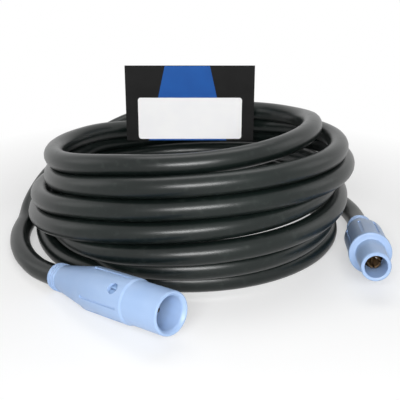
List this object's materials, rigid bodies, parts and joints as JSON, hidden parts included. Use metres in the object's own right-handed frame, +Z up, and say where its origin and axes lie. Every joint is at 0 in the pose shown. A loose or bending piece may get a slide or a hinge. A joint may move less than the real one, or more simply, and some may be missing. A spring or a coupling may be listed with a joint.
{
  "type": "single-pole power extension cord",
  "caption": "Loosely coiled heavy single-conductor power cord with a socket-ended and a nose-ended single-pole cam connector, and a blank product card tied in the coil.",
  "frame": {"origin": "middle of the whole object's footprint box, on the surface it lies on", "axes": "+Z up; -Y the way both connectors' mating ends lie; +X towards the male connector's side"},
  "size_m": [0.3749, 0.4394, 0.156],
  "materials": {
    "cable_jacket": "satin moulded rubber, dusty where handled",
    "cable_insulation": "smooth extruded inner insulation",
    "stranded_copper": "bright bare copper strand",
    "copper_foil": "thin rolled copper wrap",
    "sleeve_rubber": "satin moulded elastomer, light periwinkle blue",
    "contact_brass": "brass, dulled dark in use",
    "screw_steel": "plated steel",
    "retaining_screw": "moulded insulating screw, blue-grey",
    "card_board": "coated black card",
    "label_paper": "white label panel"
  },
  "bodies": {
    "cord": {"cable_coil": "cable_jacket", "female_lead": "cable_jacket", "male_lead": "cable_jacket", "female_jacket_end": "cable_jacket", "male_jacket_end": "cable_jacket", "female_insulation_end": "cable_insulation", "male_insulation_end": "cable_insulation", "female_conductor": "stranded_copper", "male_conductor": "stranded_copper", "female_copper_foil": "copper_foil", "male_copper_foil": "copper_foil", "female_sleeve": "sleeve_rubber", "male_sleeve": "sleeve_rubber", "female_contact": "contact_brass", "male_contact": "contact_brass", "female_set_screws": "screw_steel", "male_set_screws": "screw_steel", "male_cam_pin": "screw_steel", "swing_card": "card_board", "card_label": "label_paper", "card_strap": "card_board"},
    "female_screw": {"female_retaining_screw": "retaining_screw"},
    "male_screw": {"male_retaining_screw": "retaining_screw"}
  },
  "joints": [
    {"name": "female_screw_out", "type": "slide", "parent": "cord", "child": "female_screw", "axis": [-0.5223, -0.4283, 0.7374], "range_m": [0, 0.008]},
    {"name": "male_screw_out", "type": "slide", "parent": "cord", "child": "male_screw", "axis": [0.9406, -0.0253, 0.3386], "range_m": [0, 0.008]}
  ]
}
